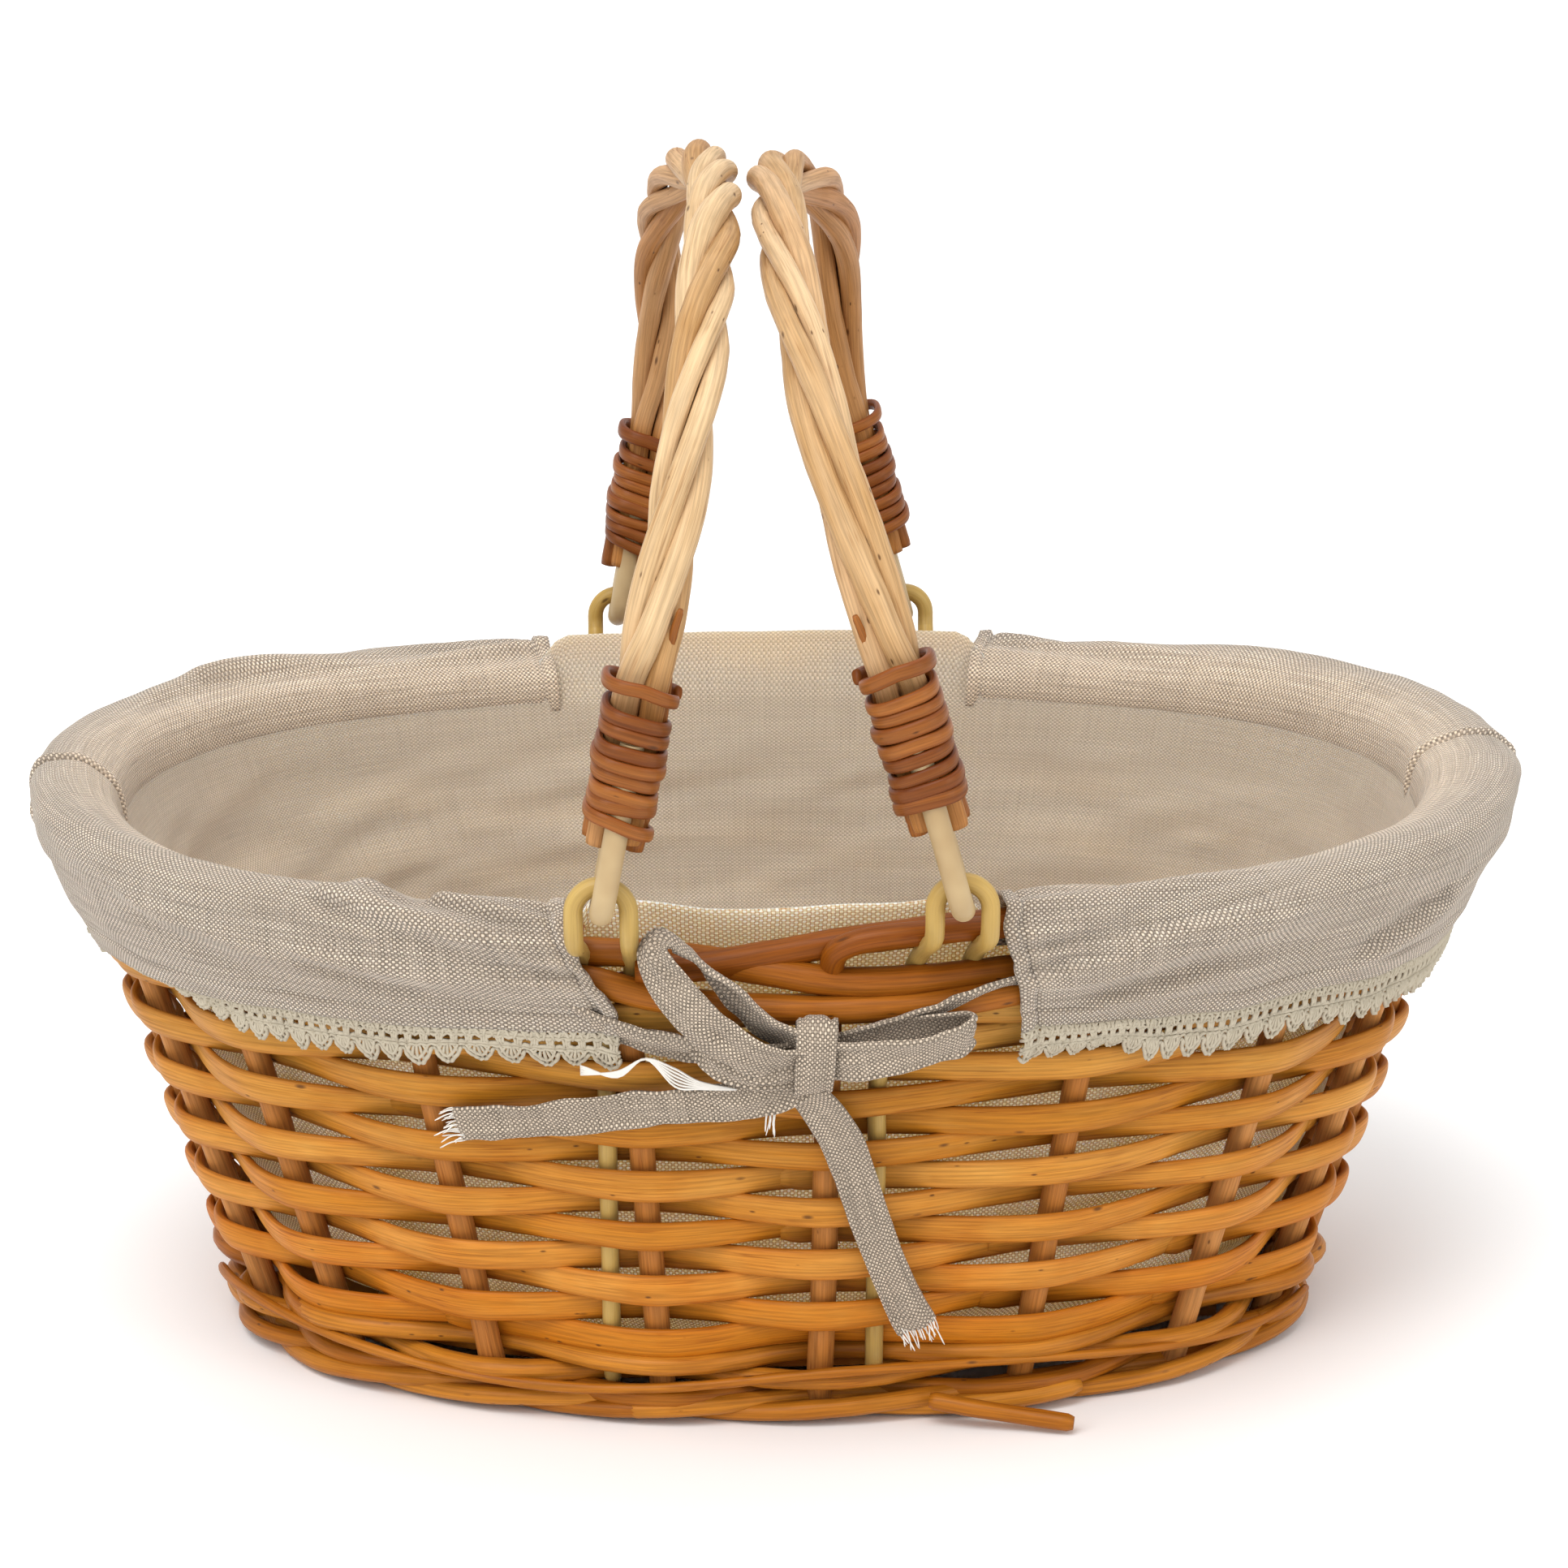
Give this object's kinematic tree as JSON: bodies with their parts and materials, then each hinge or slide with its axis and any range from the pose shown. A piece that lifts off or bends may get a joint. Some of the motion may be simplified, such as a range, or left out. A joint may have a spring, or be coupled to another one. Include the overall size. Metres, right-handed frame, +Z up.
{
  "type": "basket",
  "caption": "Oval woven willow basket with hinged drop handles, a linen liner folded over the rim, lace trim and ribbon bows tied at the front and the back.",
  "frame": {"origin": "bottom centre of the foot, on the surface that the basket stands on", "axes": "+X along the long side, to the right seen from the front; the front, with the longer bow tails, is -Y; +Z up"},
  "size_m": [0.4014, 0.324, 0.3121],
  "materials": {
    "weaver_willow": "satin, honey coloured, split willow",
    "stake_willow": "matt, pinkish tan, round willow",
    "foot_willow": "satin, orange, round willow",
    "border_willow": "satin, orange brown, round willow",
    "handle_willow": "satin, pale tan, round willow",
    "binding_cane": "satin, brown cane",
    "yellow_cane": "satin, yellow cane",
    "cream_cane": "satin, cream cane",
    "linen": "matt, coarse greige linen",
    "ribbon": "matt, greige linen ribbon",
    "lace": "matt, cream cotton crochet"
  },
  "bodies": {
    "basket": {"foot_ring": "foot_willow", "foot_rod_1": "foot_willow", "foot_rod_2": "foot_willow", "foot_rod_3": "foot_willow", "base_runners": "foot_willow", "base_sticks": "foot_willow", "base_weave": "foot_willow", "stakes": "stake_willow", "weave_row_01": "weaver_willow", "weave_row_02": "weaver_willow", "weave_row_03": "weaver_willow", "weave_row_04": "weaver_willow", "weave_row_05": "weaver_willow", "weave_row_06": "weaver_willow", "weave_row_07": "weaver_willow", "weave_row_08": "weaver_willow", "weave_row_09": "weaver_willow", "weave_row_10": "weaver_willow", "weave_row_11": "weaver_willow", "weave_row_12": "weaver_willow", "weave_row_13": "weaver_willow", "border_rod_1": "border_willow", "border_rod_2": "border_willow", "border_top_rod": "border_willow", "arch_front_left": "yellow_cane", "arch_front_right": "yellow_cane", "arch_back_left": "yellow_cane", "arch_back_right": "yellow_cane", "liner_bag": "linen", "flap_left": "linen", "flap_right": "linen", "lace_left": "lace", "lace_right": "lace", "front_band": "ribbon", "front_knot": "ribbon", "front_loops": "ribbon", "front_tails": "ribbon", "back_band": "ribbon", "back_knot": "ribbon", "back_loops": "ribbon", "back_tails": "ribbon"},
    "left_handle": {"left_handle_rod_1": "handle_willow", "left_handle_rod_2": "handle_willow", "left_handle_rod_3": "handle_willow", "left_wrap_front": "binding_cane", "left_wrap_back": "binding_cane", "left_link_front": "cream_cane", "left_link_back": "cream_cane"},
    "right_handle": {"right_handle_rod_1": "handle_willow", "right_handle_rod_2": "handle_willow", "right_handle_rod_3": "handle_willow", "right_wrap_front": "binding_cane", "right_wrap_back": "binding_cane", "right_link_front": "cream_cane", "right_link_back": "cream_cane"}
  },
  "joints": [
    {"name": "left_handle_hinge", "type": "hinge", "parent": "basket", "child": "left_handle", "pos_m": [-0.043, 0, 0.1529], "axis": [0, -1, 0], "range_deg": [0, 96]},
    {"name": "right_handle_hinge", "type": "hinge", "parent": "basket", "child": "right_handle", "pos_m": [0.043, 0, 0.1529], "axis": [0, 1, 0], "range_deg": [0, 101]}
  ]
}
